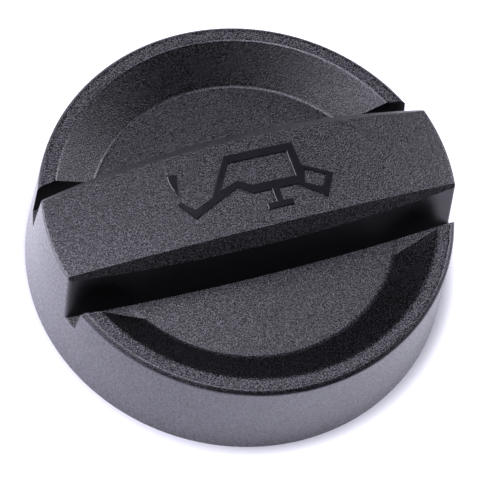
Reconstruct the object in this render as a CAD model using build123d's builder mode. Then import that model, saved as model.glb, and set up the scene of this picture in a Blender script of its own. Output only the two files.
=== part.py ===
"""Oil filler cap of a car engine: a plastic moulding with a grip bar and a spigot, and its rubber ring.

The cap stands on the foot of its skirt at z = 0, with the grip bar along X and the spigot on the Z axis.
"""
from build123d import *

import os
from math import atan2, cos, radians, sin, sqrt, tan

os.makedirs("parts", exist_ok=True)

# Skirt and rim: a drafted ring that stands on its foot
rim_radius = 32.1
skirt_flare = 0.95
rim_height = 16.65
rim_width = 2.6
rim_edge_chamfer = 0.55
rim_edge_fillet = 0.5
rim_inner_fillet = 0.5
wall = 2.2

# Dished top: a conical wall down to a domed floor
dish_depth = 4.75
dish_run = 5.75
dish_corner_fillet = 0.8
floor_dome_radius = 170.0

# Grip bar: bulged sides with draft, a domed crown and a curved bevel along each side
bar_height = 23.7
bar_half_width = 11.05
bar_side_radius = 180.0
bar_draft = 7.3
bar_end_fillet = 0.6
bar_corner_fillet = 0.7
crown_radius = 156.0
bevel_inset = 7.65
bevel_angle = 46.0
bevel_curve_radius = 170.0

# Drain slots between the bar and the cut ends of the rim
slot_width = 2.15
slot_draft = 3.8

# Spigot with its bayonet lugs
spigot_inset = 12.6
spigot_wall = 2.3
spigot_lift = 0.8
spigot_lead_in = 0.6
lug_count = 2
lug_reach = 3.0
lug_height = 2.6
lug_span = 52.0
lug_ramp_rise = 1.2
lug_ramp_run = 6.0

# Sealing ring in its groove round the root of the spigot
ring_width = 5.0
ring_thickness = 3.0
ring_edge_chamfer = 0.5
ring_slack = 0.1
ring_side_room = 0.6
seat_drop = 3.3
lip_wall = 1.4
lip_depth = 1.5

# Ribs between the lip and the skirt
rib_count = 12
rib_thickness = 1.6
rib_foot = 6.0

# Heights and radii that follow from the sizes above
foot_radius = rim_radius + skirt_flare
skirt_slope = skirt_flare / rim_height
dish_radius = rim_radius - rim_width
dish_angle = atan2(dish_depth, dish_run)
floor_radius = dish_radius - dish_run
floor_edge_height = rim_height - dish_depth
floor_dome_center = floor_edge_height - sqrt(floor_dome_radius**2 - floor_radius**2)
slot_floor = floor_dome_center + sqrt(floor_dome_radius**2 - rim_radius**2)
crown_center = bar_height - crown_radius
bevel_edge_height = crown_center + sqrt(crown_radius**2 - bevel_inset**2)
spigot_radius = rim_radius - spigot_inset
spigot_bore = spigot_radius - spigot_wall
seat_height = floor_edge_height - seat_drop
groove_radius = spigot_radius + ring_slack + ring_width + ring_side_room
lip_radius = groove_radius + lip_wall
lip_foot = seat_height - lip_depth

# Cutting shapes reach this far past what they cut
overshoot = bar_height - rim_height
reach = foot_radius + overshoot


def skirt_radius(height):
    """Outer radius of the drafted skirt, and of the bar's ends above it."""
    return rim_radius + (rim_height - height) * skirt_slope


def dish_wall_radius(height):
    """Radius of the conical wall of the dish, also past its two ends."""
    return dish_radius + (height - rim_height) * dish_run / dish_depth


def skirt_section(inset, bottom, top):
    """Half section of the solid inside the skirt's cone, moved in by an inset, between two heights."""
    with BuildSketch() as section:
        with BuildLine():
            Polyline(
                (0, bottom),
                (skirt_radius(bottom) - inset, bottom),
                (skirt_radius(top) - inset, top),
                (0, top),
                close=True,
            )
        make_face()
    return section.sketch


def barrel(half_width, draft, bottom, top):
    """Block with two bulged sides and draft, with its half width at the height of the slot floor."""
    foot_half_width = half_width + (slot_floor - bottom) * tan(radians(draft))
    half_end = foot_half_width - bar_side_radius + sqrt(bar_side_radius**2 - reach**2)
    with BuildPart() as block:
        with BuildSketch(Plane.XY.offset(bottom)):
            with BuildLine():
                ThreePointArc((-reach, -half_end), (0, -foot_half_width), (reach, -half_end))
                Line((reach, -half_end), (reach, half_end))
                ThreePointArc((reach, half_end), (0, foot_half_width), (-reach, half_end))
                Line((-reach, half_end), (-reach, -half_end))
            make_face()
        extrude(amount=top - bottom, taper=draft)
    return block.part


def ball(radius, center_height):
    """Sphere on the Z axis for a domed face, with its poles along Y, away from that face."""
    with BuildPart() as sphere:
        with Locations((0, 0, center_height)):
            Sphere(radius, rotation=(90, 0, 0))
    return sphere.part


def bevels(inset):
    """The two long wedges that the curved bevels take off the bar, moved in by an inset."""
    with BuildPart() as wedges:
        for side in (1, -1):
            slope = Plane(
                origin=(0, side * bevel_inset, bevel_edge_height),
                x_dir=(1, 0, 0),
                z_dir=(0, side * cos(radians(bevel_angle)), -sin(radians(bevel_angle))),
            )
            with BuildSketch(slope):
                with Locations((0, side * inset)):
                    Rectangle(2 * reach, 2 * overshoot)
                with Locations((0, side * (bevel_curve_radius + inset))):
                    Circle(bevel_curve_radius, mode=Mode.SUBTRACT)
            extrude(amount=overshoot, both=True)
    return wedges.part


# Grip bar: the barrel trimmed by the skirt's cone, the domed crown with its rounded edge, and the two bevels
with BuildPart() as grip_bar:
    add(barrel(bar_half_width, bar_draft, slot_floor - wall / 2, bar_height + overshoot))
    with BuildSketch(Plane.XZ):
        add(skirt_section(0, 0, bar_height + 2 * overshoot))
    revolve(axis=Axis.Z, mode=Mode.INTERSECT)
    upright = grip_bar.edges().filter_by(lambda edge: edge.bounding_box().size.Z > overshoot)
    fillet(upright, bar_corner_fillet)
    add(ball(crown_radius, crown_center), mode=Mode.INTERSECT)
    fillet(grip_bar.faces().sort_by(Axis.Z)[-1].edges(), bar_end_fillet)
    add(bevels(0), mode=Mode.SUBTRACT)

# Dish: the round recess of the top, with a conical wall down to a domed floor and a soft corner between them
with BuildPart() as dish:
    with BuildSketch(Plane.XZ):
        with BuildLine():
            Polyline(
                (0, floor_edge_height - wall),
                (dish_wall_radius(floor_edge_height - wall), floor_edge_height - wall),
                (dish_wall_radius(bar_height), bar_height),
                (0, bar_height),
                close=True,
            )
        make_face()
    revolve(axis=Axis.Z)
    add(ball(floor_dome_radius, floor_dome_center), mode=Mode.SUBTRACT)
    fillet(dish.edges().group_by(Axis.Z)[0], dish_corner_fillet)

# Slots: the space beside the bar, down to the domed floor, which cuts the rim open at both ends of the bar
with BuildPart() as slots:
    add(barrel(bar_half_width + slot_width, -slot_draft, slot_floor - wall / 2, bar_height))
    add(ball(floor_dome_radius, floor_dome_center), mode=Mode.SUBTRACT)

# Bayonet lug: an ear at the end of the spigot, with a ramp on the end that enters the neck first
with BuildPart() as lug:
    with BuildSketch(Plane.XZ):
        with Locations((spigot_bore, spigot_lift)):
            Rectangle(spigot_wall + lug_reach, lug_height, align=Align.MIN)
    revolve(axis=Axis.Z, revolution_arc=lug_span)
    leading_end = lug.faces().filter_by(Axis.Y).sort_by(Axis.Y)[0]
    ramp_edge = leading_end.edges().sort_by(Axis.Z)[-1]
    chamfer(ramp_edge, length=lug_ramp_rise, length2=lug_ramp_run, reference=leading_end)

# Hollow of the bar, with the moulded wall left on every side of it
with BuildPart() as bar_hollow:
    add(barrel(bar_half_width - wall, bar_draft, seat_height, bar_height))
    with BuildSketch(Plane.XZ):
        add(skirt_section(wall, 0, bar_height))
    revolve(axis=Axis.Z, mode=Mode.INTERSECT)
    add(ball(crown_radius - wall, crown_center), mode=Mode.INTERSECT)
    add(bevels(wall), mode=Mode.SUBTRACT)

# Hollow under the floor, with the moulded wall left above it
with BuildPart() as floor_hollow:
    with BuildSketch(Plane.XZ):
        add(skirt_section(wall, -overshoot, rim_height))
    revolve(axis=Axis.Z)
    add(ball(floor_dome_radius - wall, floor_dome_center), mode=Mode.INTERSECT)

# Hollow under the top: an even wall below rim, dish, slots and bar, round the spigot, its lip, ribs and lugs
with BuildPart() as hollow:
    with BuildSketch(Plane.XZ):
        add(skirt_section(wall, -overshoot, rim_height))
        with BuildLine():
            inner_edge = (floor_radius + wall * sin(dish_angle), floor_edge_height - wall * cos(dish_angle))
            outer_edge = (dish_radius + wall * sin(dish_angle), rim_height - wall * cos(dish_angle))
            Polyline(inner_edge, outer_edge, (outer_edge[0], 0), (inner_edge[0], 0), close=True)
        make_face(mode=Mode.INTERSECT)
    revolve(axis=Axis.Z)
    add(barrel(bar_half_width + slot_width + wall, 0, 0, rim_height), mode=Mode.SUBTRACT)
    add(floor_hollow.part)
    add(bar_hollow.part)
    with BuildSketch(Plane.XZ):
        with BuildLine():
            Polyline(
                (spigot_bore, spigot_lift),
                (spigot_radius - spigot_lead_in, spigot_lift),
                (spigot_radius, spigot_lift + spigot_lead_in),
                (spigot_radius, seat_height),
                (groove_radius, seat_height),
                (groove_radius, lip_foot),
                (lip_radius, lip_foot),
                (lip_radius, bar_height),
                (spigot_bore, bar_height),
                close=True,
            )
        make_face()
    revolve(axis=Axis.Z, mode=Mode.SUBTRACT)
    with PolarLocations(groove_radius, rib_count, start_angle=180 / rib_count):
        with Locations((0, 0, rib_foot)):
            Box(
                foot_radius - groove_radius,
                rib_thickness,
                rim_height - rib_foot,
                align=(Align.MIN, Align.CENTER, Align.MIN),
                mode=Mode.SUBTRACT,
            )
    with PolarLocations(0, lug_count, start_angle=-lug_span / 2):
        add(lug.part, mode=Mode.SUBTRACT)

# Cap body: skirt and rim in one turn, with the dish and the slots cut in, the bar across, hollow below
with BuildPart() as cap_body:
    with BuildSketch(Plane.XZ) as skirt_outline:
        add(skirt_section(0, 0, rim_height))
        corners = skirt_outline.vertices()
        chamfer(corners.sort_by_distance((rim_radius, rim_height))[0], rim_edge_chamfer)
        corners = skirt_outline.vertices()
        fillet(corners.sort_by_distance((rim_radius, rim_height))[:2], rim_edge_fillet)
    revolve(axis=Axis.Z)
    add(dish.part, mode=Mode.SUBTRACT)
    inner_rim = cap_body.edges().filter_by(GeomType.CIRCLE).sort_by_distance((dish_radius, 0, rim_height))[0]
    fillet(inner_rim, rim_inner_fillet)
    add(slots.part, mode=Mode.SUBTRACT)
    add(grip_bar.part)
    add(hollow.part, mode=Mode.SUBTRACT)

cap_body.part.label = "cap_body"
export_step(cap_body.part, "parts/cap_body.step")

# Sealing ring: a flat rubber ring with bevelled lower edges, pressed up against its seat
with BuildPart() as sealing_ring:
    with BuildSketch(Plane.XZ) as ring_section:
        with Locations((spigot_radius + ring_slack, seat_height)):
            Rectangle(ring_width, ring_thickness, align=(Align.MIN, Align.MAX))
        chamfer(ring_section.vertices().group_by(Axis.Y)[0], ring_edge_chamfer)
    revolve(axis=Axis.Z)

sealing_ring.part.label = "sealing_ring"
export_step(sealing_ring.part, "parts/sealing_ring.step")
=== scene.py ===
import math

import bmesh
import bpy
from mathutils import Matrix, Vector


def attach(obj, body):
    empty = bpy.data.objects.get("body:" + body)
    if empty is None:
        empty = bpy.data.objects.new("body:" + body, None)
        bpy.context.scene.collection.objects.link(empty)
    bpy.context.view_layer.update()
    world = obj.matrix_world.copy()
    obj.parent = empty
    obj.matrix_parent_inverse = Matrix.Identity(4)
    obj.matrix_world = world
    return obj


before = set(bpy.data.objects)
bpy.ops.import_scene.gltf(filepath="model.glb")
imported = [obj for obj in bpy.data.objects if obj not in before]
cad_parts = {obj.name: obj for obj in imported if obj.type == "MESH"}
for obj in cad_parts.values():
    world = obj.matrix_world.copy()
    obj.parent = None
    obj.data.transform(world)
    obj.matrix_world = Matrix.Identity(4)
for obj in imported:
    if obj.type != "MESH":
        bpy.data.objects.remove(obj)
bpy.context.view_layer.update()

# Cap body: skirt, rim, dish, grip bar and spigot, moulded from black plastic in one shot.
# Spark-eroded steel gives the top its even grain, which fades on the upright walls; the skirt
# and the hidden side left the mould from smoother steel and have a satin sheen. The grain's
# lighter peaks are painted glints: lighter on the rim and the bevels as painted sheen, and dimmed
# on the upright walls as painted shade.
mm = 0.001
rim_radius = 32.1
rim_height = 16.65
skirt_flare = 0.95
dish_radius = 29.5
floor_radius = 23.75
floor_top = 13.57
floor_dome_radius = 170.0

# The bands of depth, height and slope over which one finish of the cap goes over to the next;
# the slope bands also dim the painted glints on steep faces as painted shade.
skirt_skin = (0.05, 0.2)
rim_underside = (0.5, 0.7)
rim_low = (rim_height - 0.7, rim_height - 0.4)
rim_high = (rim_height + 0.1, rim_height + 0.3)
bar_low = (rim_height + 1.0, rim_height + 1.5)
floor_low = (floor_top - 1.2, floor_top - 0.6)
floor_corner = (floor_top - 0.9, floor_top - 0.6)
grain_slope = (0.3, 0.9)
bevel_slope = (0.35, 0.65)
level_slope = (0.7, 1.0)

# The rounded edges, each as a place and a reach: outside and inside of the rim, foot of the wall.
outer_edge = (0.75, 0.35)
inner_edge = (dish_radius + 0.05, 0.4)
wall_foot = (floor_radius, 0.5)

grain_size = 0.2
grain_depth = 0.13
grain_peaks = (0.47, 0.63)
satin_size = 0.35
satin_spread = (0.35, 0.65)
cloud_size = 6.0
# The grain's pits are the plastic's own black; its lighter peaks are painted glints.
pit_black = (0.003, 0.003, 0.004)
peak_painted_glint = (0.045, 0.044, 0.052)
# Lighter peaks on the rim: painted sheen.
rim_painted_glint = (0.082, 0.081, 0.094)
# On the upright walls the painted glints are dimmed towards black: painted shade.
wall_black = (0.0, 0.0, 0.0)
wall_dim_painted_glint = (0.012, 0.012, 0.014)
# Lighter peaks on the bar's bevels: painted sheen.
bevel_painted_glint = (0.042, 0.042, 0.049)
satin_black = (0.001, 0.001, 0.002)
satin_grey = (0.037, 0.032, 0.060)
satin_rough = 0.16
wall_rough = 0.34
grain_rough = 0.22
cloud_rough = 0.06
satin_gloss = 0.55
satin_gloss_gain = 0.35
peak_gloss = 0.6
level_gloss_gain = 0.05
satin_bite = 0.06
wall_bite = 0.25
grain_bite = 1.0
edge_smoothing = 0.75


class Field:
    """A socket in a material's tree; arithmetic on it adds the nodes that work it out."""

    def __init__(self, tree, socket=None):
        self.tree = tree
        self.socket = socket

    def node(self, kind, settings, inputs, output=0):
        """A node of a kind: its settings first, then the values or links of its sockets."""
        made = self.tree.nodes.new(kind)
        for name, value in settings.items():
            setattr(made, name, value)
        for name, value in inputs.items():
            if isinstance(value, Field):
                self.tree.links.new(value.socket, made.inputs[name])
            elif made.inputs[name].type == "RGBA":
                made.inputs[name].default_value = (*value, 1.0)
            else:
                made.inputs[name].default_value = value
        return Field(self.tree, made.outputs[output] if made.outputs else None)

    def math(self, operation, first, second):
        return self.node("ShaderNodeMath", {"operation": operation}, {0: first, 1: second})

    def __add__(self, other):
        return self.math("ADD", self, other)

    __radd__ = __add__

    def __sub__(self, other):
        return self.math("SUBTRACT", self, other)

    def __rsub__(self, other):
        return self.math("SUBTRACT", other, self)

    def __mul__(self, other):
        return self.math("MULTIPLY", self, other)

    __rmul__ = __mul__

    def rise(self, low, high):
        """Goes smoothly from 0 to 1 as this value goes from low to high."""
        inputs = {"Value": self, "From Min": low, "From Max": high}
        return self.node("ShaderNodeMapRange", {"interpolation_type": "SMOOTHSTEP"}, inputs)

    def near(self, middle, reach):
        """1 around a middle value, falling smoothly to 0 at a reach from it."""
        return 1 - self.math("ABSOLUTE", self - middle, 0.0).rise(0.5 * reach, reach)

    def blend(self, first, second):
        """Colour from the first to the second as this value goes from 0 to 1."""
        inputs = {0: self, 6: first, 7: second}
        return self.node("ShaderNodeMix", {"data_type": "RGBA"}, inputs, 2)

    def shade(self, colour):
        """A colour made lighter or darker by this value."""
        inputs = {0: colour, "Scale": self}
        return self.node("ShaderNodeVectorMath", {"operation": "SCALE"}, inputs)


def finish(name):
    """A new material with an empty tree, and the place on the piece in millimetres."""
    material = bpy.data.materials.new(name)
    material.use_nodes = True
    material.node_tree.nodes.clear()
    place = Field(material.node_tree).node("ShaderNodeTexCoord", {}, {}, "Object")
    inputs = {0: place, "Scale": 1 / mm}
    return material, place.node("ShaderNodeVectorMath", {"operation": "SCALE"}, inputs)


def noise(place, size, detail=2.0, roughness=0.5):
    """Grey noise with features of about a size in millimetres."""
    inputs = {"Vector": place, "Scale": 1 / size, "Detail": detail, "Roughness": roughness}
    return place.node("ShaderNodeTexNoise", {}, inputs)


def relief(height, depth, strength=1.0):
    """Bump of a depth in millimetres."""
    inputs = {"Height": height, "Distance": depth * mm, "Strength": strength}
    return height.node("ShaderNodeBump", {}, inputs)


def coat(place, inputs):
    """The shader of a solid piece, joined to the tree's output."""
    shader = place.node("ShaderNodeBsdfPrincipled", {}, inputs)
    place.node("ShaderNodeOutputMaterial", {}, {"Surface": shader})


cap_plastic, place = finish("black_cap_plastic")
height = place.node("ShaderNodeSeparateXYZ", {}, {0: place}, "Z")
flat = place.node("ShaderNodeVectorMath", {"operation": "MULTIPLY"}, {0: place, 1: (1, 1, 0)})
radius = flat.node("ShaderNodeVectorMath", {"operation": "LENGTH"}, {0: flat}, "Value")
normal = place.node("ShaderNodeNewGeometry", {}, {}, "Normal")
slope = place.node("ShaderNodeSeparateXYZ", {}, {0: normal}, "Z")

inside = rim_radius + (rim_height - height) * (skirt_flare / rim_height) - radius
over_dome = height + radius * radius * (0.5 / floor_dome_radius)
on_top = over_dome.rise(*floor_low) * inside.rise(*skirt_skin)
on_rim = height.rise(*rim_low) * (1 - height.rise(*rim_high))
on_bevel = height.rise(*bar_low) * slope.rise(*bevel_slope)
grained = on_top * slope.rise(*grain_slope)
level = slope.rise(*level_slope)
under_edge = on_rim * (1 - inside.rise(*rim_underside))
rounded_rim = on_rim * (inside.near(*outer_edge) + radius.near(*inner_edge))
rounded_foot = radius.near(*wall_foot) * (1 - height.rise(*floor_corner))
smoothed = edge_smoothing * (rounded_rim + rounded_foot)

grain = noise(place, grain_size, detail=1.0)
peaks = grain.rise(*grain_peaks)
cloud = noise(place, cloud_size)
satin = noise(place, satin_size).rise(*satin_spread)
satin_colour = satin.blend(satin_black, satin_grey)
# Painted shade: on steeper faces the painted glints fade and dim towards black, except on the
# bevels.
wall_colour = (grained * peaks).blend(wall_black, on_bevel.blend(wall_dim_painted_glint, bevel_painted_glint))
# Level faces: plastic black in the pits, painted glints on the peaks, lighter on the rim as painted
# sheen.
level_colour = peaks.blend(pit_black, on_rim.blend(peak_painted_glint, rim_painted_glint))
satin_coat = satin_gloss + satin_gloss_gain * satin
peak_coat = grained * peaks * (peak_gloss + level_gloss_gain * level) * (1 - under_edge)
rough = satin_rough + on_top * (wall_rough - satin_rough) - grained * (wall_rough - grain_rough)
bite = satin_bite + on_top * (wall_bite - satin_bite) + grained * (grain_bite - wall_bite)
coat(place, {
    "Base Color": on_top.blend(satin_colour, level.blend(wall_colour, level_colour)),
    "Roughness": rough + cloud_rough * cloud,
    "Specular IOR Level": 0.6,
    "Specular Tint": (0.93, 0.91, 1.0),
    "Coat Weight": (1 - on_top) * satin_coat + peak_coat,
    "Coat Roughness": 0.37,
    "Coat IOR": 1.6,
    "Normal": relief(grain, grain_depth, bite * (1 - smoothed)),
})
cap_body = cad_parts["cap_body"]
cap_body.data.materials.clear()
cap_body.data.materials.append(cap_plastic)

# Oil-can sign: the common figure for engine oil, a can with its knob, handle and spout and a
# falling drop. It stands up from the crown of the bar, moulded with it, and its face is
# smooth where the crown is grained.
crown_top = 23.7
crown_radius = 156.0
sign_height = 0.3
sign_root = 0.15
sign_edge = 0.08
sign_step = 1.5
sharpest_lean = 0.4
sharp_corner = 25.0
sign_black = (0.011, 0.011, 0.014)
haze_size = 2.5
haze_dark = 0.8
haze_gain = 0.4
sign_rough = 0.14
haze_rough = 0.1
ripple_size = 0.3
ripple_depth = 0.004
can = [
    (-12.27, -0.69), (-10.35, -3.8), (-2.57, -0.44), (-0.72, -2.0), (2.28, -2.05), (2.3, -4.2),
    (0.75, -4.2), (0.7, -5.2), (4.85, -5.2), (4.9, -4.2), (3.4, -4.2), (3.4, -2.05), (6.55, -2.1),
    (7.2, -2.75), (10.44, -5.2), (12.55, -1.5), (8.05, 0.95), (7.9, 5.1), (-3.1, 5.3), (-7.0, -1.1),
    (-10.05, -2.3), (-11.75, -0.42),
]
can_inside = [
    (-5.35, -0.25), (-2.75, 3.95), (6.6, 3.75), (6.56, -0.65), (-0.42, -0.55), (-2.27, 0.75),
]
handle_inside = [(8.28, 0.15), (11.3, -1.5), (10.05, -3.45), (7.63, -2.2)]
drop = [
    (-11.6, 0.72), (-11.5, 1.2), (-10.88, 3.78), (-10.92, 4.12), (-11.38, 4.33), (-11.95, 4.42),
    (-12.33, 4.2), (-12.42, 3.45), (-12.28, 2.4), (-11.95, 1.4),
]


def dotted(loop):
    """Points along a closed outline, no further apart than the step."""
    points = []
    for start, end in zip(loop, loop[1:] + loop[:1]):
        start, end = Vector(start), Vector(end)
        count = math.ceil((end - start).length / sign_step)
        points += [start.lerp(end, n / count) for n in range(count)]
    return points


def drawn_in(points, distance):
    """The outline moved to its left, into the figure, by a distance."""
    moved = []
    for before, point, after in zip(points[-1:] + points[:-1], points, points[1:] + points[:1]):
        one = (point - before).normalized()
        two = (after - point).normalized()
        lean = (one + two).normalized()
        left = Vector((-lean.y, lean.x))
        moved.append(point + left * distance / max(sharpest_lean, lean.dot(one)))
    return moved


def over_crown(point, lift):
    """A place at a lift over the crown of the bar, in metres."""
    crown = crown_top - point.length_squared / (2 * crown_radius)
    return Vector((point.x, point.y, crown + lift)) * mm


def raised_figure(name, outlines):
    """A closed figure that follows the crown: outlines with the figure on their left."""
    solid = bmesh.new()
    loops = [dotted(outline) for outline in outlines]
    rows = []
    for lift, inset in (
        (-sign_root, 0.0), (sign_height - sign_edge, 0.0), (sign_height, sign_edge),
    ):
        shells = [drawn_in(loop, inset) for loop in loops]
        rows.append([[solid.verts.new(over_crown(p, lift)) for p in shell] for shell in shells])
    for low, high in zip(rows, rows[1:]):
        for below, above in zip(low, high):
            for n in range(len(below)):
                m = (n + 1) % len(below)
                solid.faces.new((below[n], below[m], above[m], above[n]))
    for row in (rows[0], rows[-1]):
        border = [solid.edges.get((loop[n - 1], loop[n])) for loop in row for n in range(len(loop))]
        bmesh.ops.triangle_fill(solid, use_beauty=True, edges=border, normal=(0.0, 0.0, 1.0))
    bmesh.ops.recalc_face_normals(solid, faces=solid.faces)
    mesh = bpy.data.meshes.new(name)
    solid.to_mesh(mesh)
    solid.free()
    mesh.shade_smooth()
    mesh.set_sharp_from_angle(angle=math.radians(sharp_corner))
    piece = bpy.data.objects.new(name, mesh)
    bpy.context.scene.collection.objects.link(piece)
    return piece


sign_plastic, place = finish("smooth_sign_plastic")
haze = noise(place, haze_size, detail=3.0)
ripple = noise(place, ripple_size)
coat(place, {
    "Base Color": (haze_dark + haze_gain * haze).shade(sign_black),
    "Roughness": sign_rough + haze_rough * haze,
    "Specular IOR Level": 0.4,
    "Normal": relief(ripple, ripple_depth),
})
oil_can = raised_figure("oil_can_sign", [can, can_inside, handle_inside])
oil_drop = raised_figure("oil_drop_sign", [drop])
for piece in (oil_can, oil_drop):
    piece.data.materials.append(sign_plastic)
    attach(piece, "root")

# Sealing ring: a flat ring of black rubber, stretched over the spigot and pushed up to its seat.
# It is cut from a moulded tube, so its faces are matt with a fine talc bloom.
rubber_black = (0.018, 0.018, 0.019)
rubber_bloom = (0.045, 0.045, 0.046)
bloom_size = 1.8
bloom_spread = (0.45, 0.75)
rubber_rough = 0.58
bloom_rough = 0.2
pore_size = 0.3
pore_depth = 0.02
ring_rubber, place = finish("black_ring_rubber")
bloom = noise(place, bloom_size, detail=4.0, roughness=0.6)
pores = noise(place, pore_size)
coat(place, {
    "Base Color": bloom.rise(*bloom_spread).blend(rubber_black, rubber_bloom),
    "Roughness": rubber_rough + bloom_rough * bloom,
    "Normal": relief(pores, pore_depth),
})
sealing_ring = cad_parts["sealing_ring"]
sealing_ring.data.materials.clear()
sealing_ring.data.materials.append(ring_rubber)

# Studio: a white table that the cap stands on, two softboxes above it and four lower ones round
# it, in a dim room. The table's glow is bright to the camera, weak in mirrors and lights no matt
# face, and it fades close to the cap's foot, so that the shadow stays.
table_half = 1.5
table_drop = 0.02
table_white = (0.84, 0.84, 0.9)
glow_white = (0.92, 0.92, 1.0)
glow_seen = 0.66
glow_mirrored = 0.18
shadow_reach = 2.5
shadow_depth = 4.0
shadow_samples = 8
corners = [(-1, -1), (1, -1), (1, 1), (-1, 1)]
table_mesh = bpy.data.meshes.new("table")
table_mesh.from_pydata(
    [(x * table_half, y * table_half, -table_drop * mm) for x, y in corners], [], [(0, 1, 2, 3)]
)
table = bpy.data.objects.new("table", table_mesh)
bpy.context.scene.collection.objects.link(table)
table_paint, place = finish("white_table")
seen = place.node("ShaderNodeLightPath", {}, {}, "Is Camera Ray")
mirrored = place.node("ShaderNodeLightPath", {}, {}, "Is Glossy Ray")
seen_through = place.node("ShaderNodeLightPath", {}, {}, "Is Transmission Ray")
settings = {"samples": shadow_samples}
inputs = {"Distance": shadow_reach * mm}
open_sky = place.node("ShaderNodeAmbientOcclusion", settings, inputs, "AO")
brightness = seen * glow_seen + (mirrored + seen_through) * glow_mirrored
strength = open_sky.math("POWER", open_sky, shadow_depth) * brightness
white = place.node("ShaderNodeBsdfDiffuse", {}, {"Color": table_white})
glow = place.node("ShaderNodeEmission", {}, {"Color": glow_white, "Strength": strength})
both = place.node("ShaderNodeAddShader", {}, {0: white, 1: glow})
place.node("ShaderNodeOutputMaterial", {}, {"Surface": both})
table_mesh.materials.append(table_paint)

lamp_white = (0.97, 0.96, 1.06)
room_white = (0.95, 0.95, 1.0, 1.0)
room_strength = 0.03
above_turn = math.radians(-31.3)


def softbox(name, centre, size, turn, brightness):
    """A lamp of a width, height and brightness of face that faces the cap, turned on its axis."""
    lamp = bpy.data.lights.new(name, "AREA")
    lamp.shape = "RECTANGLE"
    lamp.size, lamp.size_y = size
    lamp.energy = brightness * math.pi * lamp.size * lamp.size_y
    lamp.color = lamp_white
    box = bpy.data.objects.new(name, lamp)
    toward = -Vector(centre)
    aim = toward.to_track_quat("-Z", "Y").to_matrix().to_4x4()
    box.matrix_world = Matrix.Translation(centre) @ aim @ Matrix.Rotation(turn, 4, "Z")
    bpy.context.scene.collection.objects.link(box)


softbox("softbox_above", (0.0, 0.0, 0.75), (0.3, 0.5), above_turn, 3.1)
softbox("softbox_above_left", (-0.22, 0.2, 0.71), (0.3, 0.4), 0.0, 5.1)
softbox("softbox_left", (-0.608, 0.275, 0.130), (0.5, 0.24), 0.0, 10.0)
softbox("softbox_front", (-0.461, -0.046, 0.497), (0.6, 0.3), 0.0, 4.2)
softbox("softbox_right", (0.599, 0.124, 0.298), (0.35, 0.35), 0.0, 5.0)
softbox("softbox_right_high", (0.505, -0.012, 0.455), (0.3, 0.3), 0.0, 2.0)
room = bpy.data.worlds.new("room")
room.use_nodes = True
room.node_tree.nodes["Background"].inputs["Color"].default_value = room_white
room.node_tree.nodes["Background"].inputs["Strength"].default_value = room_strength
bpy.context.scene.world = room
bpy.context.scene.view_settings.view_transform = "Standard"

eye = Vector((-0.118928, -0.195075, 0.413860))
gaze = Vector((0.2544, 0.41645, -0.87284))
roll = math.radians(14.31)
camera_data = bpy.data.cameras.new("camera")
camera_data.sensor_width = 36.0
camera_data.lens = 225.0
camera = bpy.data.objects.new("camera", camera_data)
aim = gaze.to_track_quat("-Z", "Y").to_matrix().to_4x4()
camera.matrix_world = Matrix.Translation(eye) @ aim @ Matrix.Rotation(roll, 4, "Z")
bpy.context.scene.collection.objects.link(camera)
bpy.context.scene.camera = camera
